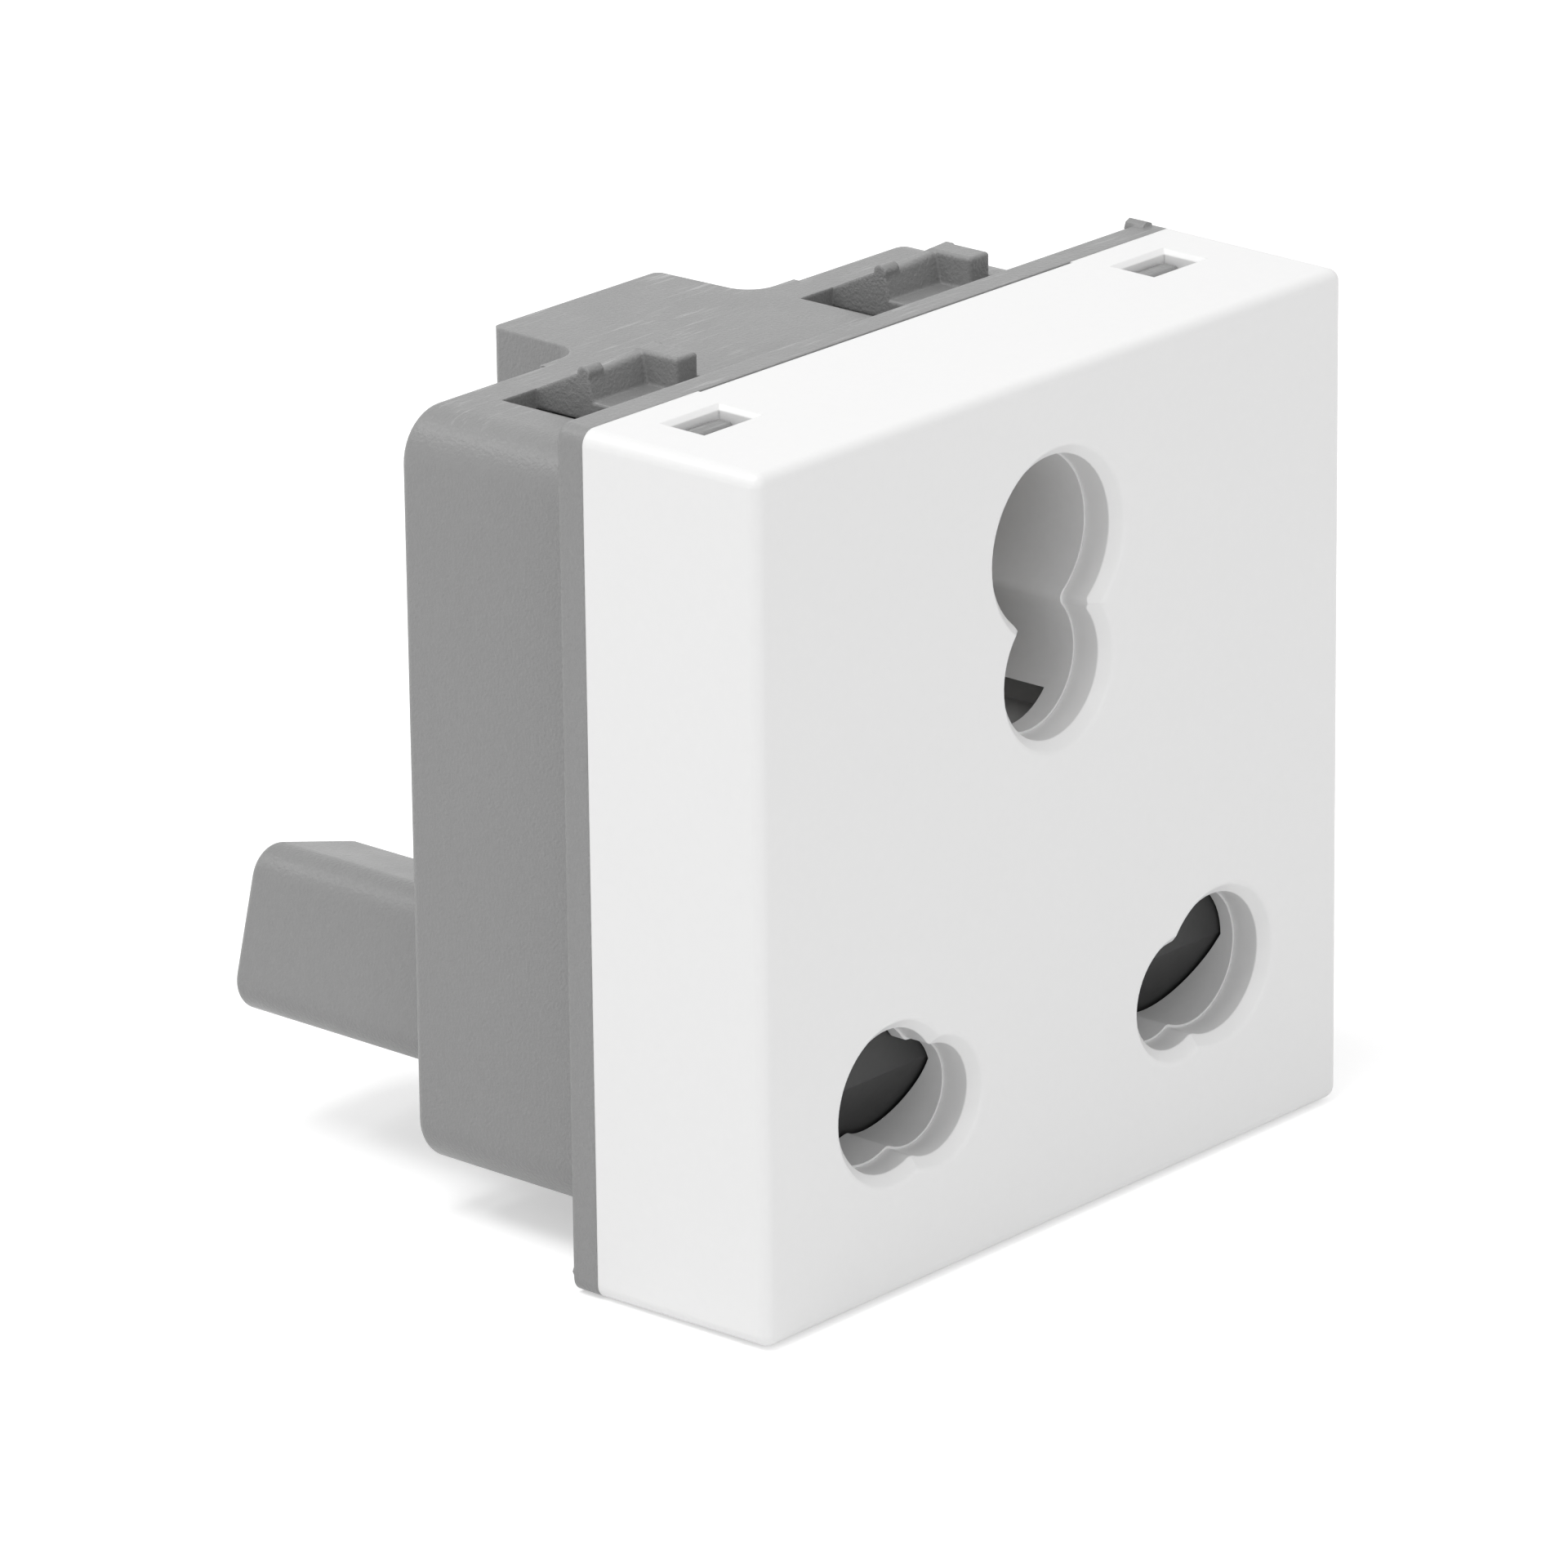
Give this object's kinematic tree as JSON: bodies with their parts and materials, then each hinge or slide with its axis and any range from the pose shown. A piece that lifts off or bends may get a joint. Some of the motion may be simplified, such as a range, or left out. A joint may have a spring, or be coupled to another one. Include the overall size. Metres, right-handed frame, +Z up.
{
  "type": "wall socket mechanism",
  "caption": "Flush wall socket mechanism with a square white cover, keyhole apertures for round-pin plugs of two sizes, sliding shutter, brass contacts and rear screw terminals.",
  "frame": {"origin": "middle of the rim's rear face, the plane that seats on the support frame", "axes": "+Y into the wall, +Z up, +X to the right as seen from the front"},
  "size_m": [0.0452, 0.0408, 0.0455],
  "materials": {
    "white_cover": "satin",
    "grey_housing": "fine eroded texture",
    "light_inner": "satin",
    "dark_shutter": "matt",
    "grey_retainer": "matt",
    "brass": "rolled",
    "spring_steel": "drawn",
    "plated_steel": "zinc plated"
  },
  "bodies": {
    "socket": {"front_cover": "white_cover", "base_housing": "grey_housing", "shutter_guide": "light_inner", "contact_retainer": "grey_retainer", "shutter_spring_left": "spring_steel", "shutter_spring_right": "spring_steel", "retainer_screw_left": "plated_steel", "retainer_screw_right": "plated_steel", "earth_contact": "brass", "earth_grip_spring": "spring_steel", "earth_terminal": "brass", "earth_rivet": "brass", "neutral_contact": "brass", "neutral_grip_spring": "spring_steel", "neutral_terminal": "brass", "neutral_rivet": "brass", "line_contact": "brass", "line_grip_spring": "spring_steel", "line_terminal": "brass", "line_rivet": "brass"},
    "shutter_slider": {"shutter": "dark_shutter"},
    "earth_screw": {"earth_terminal_screw": "plated_steel"},
    "neutral_screw": {"neutral_terminal_screw": "plated_steel"},
    "line_screw": {"line_terminal_screw": "plated_steel"}
  },
  "joints": [
    {"name": "shutter_slide", "type": "slide", "parent": "socket", "child": "shutter_slider", "axis": [0, 0, 1], "range_m": [0, 0.0084], "stiffness_N_per_m": 40, "springref_m": -0.004, "deforming": ["shutter_spring_left", "shutter_spring_right"]},
    {"name": "earth_terminal_screw_turn", "type": "hinge", "parent": "socket", "child": "earth_screw", "pos_m": [0, 0.015, 0.00337], "axis": [0, 0, -1], "range_deg": [-1440, 0]},
    {"name": "neutral_terminal_screw_turn", "type": "hinge", "parent": "socket", "child": "neutral_screw", "pos_m": [-0.01344, 0.0236, -0.01515], "axis": [-0.2586, 0, -0.966], "range_deg": [-1440, 0]},
    {"name": "line_terminal_screw_turn", "type": "hinge", "parent": "socket", "child": "line_screw", "pos_m": [0.01344, 0.0236, -0.01515], "axis": [0.2586, 0, -0.966], "range_deg": [-1440, 0]}
  ]
}
